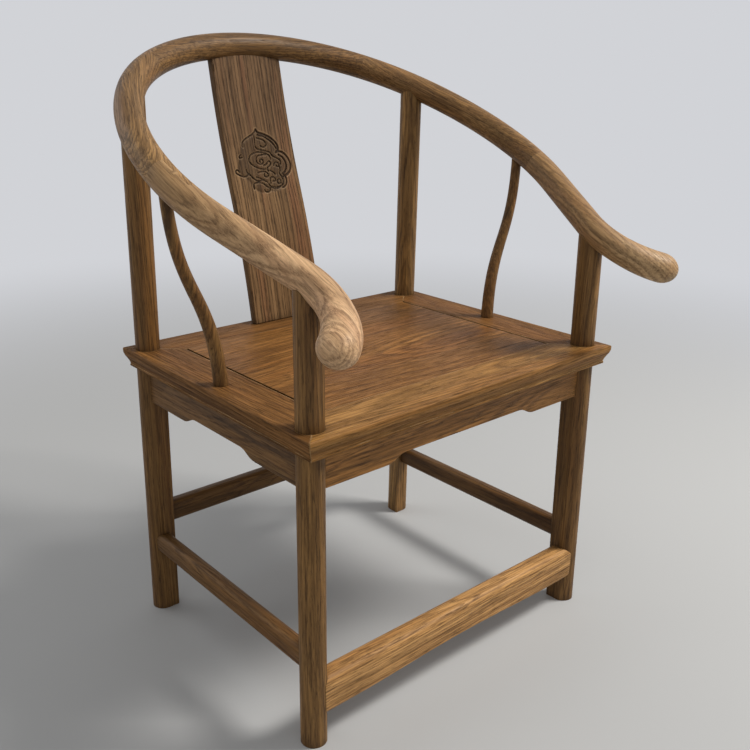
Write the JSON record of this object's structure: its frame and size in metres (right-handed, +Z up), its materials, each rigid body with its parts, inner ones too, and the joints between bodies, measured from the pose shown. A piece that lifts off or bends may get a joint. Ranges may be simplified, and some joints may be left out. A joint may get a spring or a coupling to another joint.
{
  "type": "horseshoe back armchair",
  "caption": "Wooden East Asian armchair with a continuous horseshoe rail, carved splat and joined frame.",
  "frame": {"origin": "on the floor, below the middle of the whole chair: half way between its sides, and half way between the back of the crest and the front of the hands", "axes": "+Z up, -Y the way the sitter faces, +X to the right of someone looking at the chair's front"},
  "size_m": [0.7358, 0.7032, 0.959],
  "materials": {
    "timber": "oiled and waxed hardwood, satin, warm brown with darker worn edges"
  },
  "bodies": {
    "root": {"arm_left": "timber", "arm_pin_left": "timber", "arm_pin_right": "timber", "arm_right": "timber", "back_splat": "timber", "crest_center": "timber", "crest_pin_left": "timber", "crest_pin_right": "timber", "crest_shoulder_left": "timber", "crest_shoulder_right": "timber", "front_apron": "timber", "front_leg_left": "timber", "front_leg_right": "timber", "front_stretcher": "timber", "left_apron": "timber", "left_stretcher": "timber", "rear_apron": "timber", "rear_leg_left": "timber", "rear_leg_right": "timber", "rear_stretcher": "timber", "right_apron": "timber", "right_stretcher": "timber", "seat_batten_left": "timber", "seat_batten_right": "timber", "seat_front_rail": "timber", "seat_left_rail": "timber", "seat_panel": "timber", "seat_rear_rail": "timber", "seat_right_rail": "timber", "side_post_left": "timber", "side_post_right": "timber"}
  },
  "joints": []
}
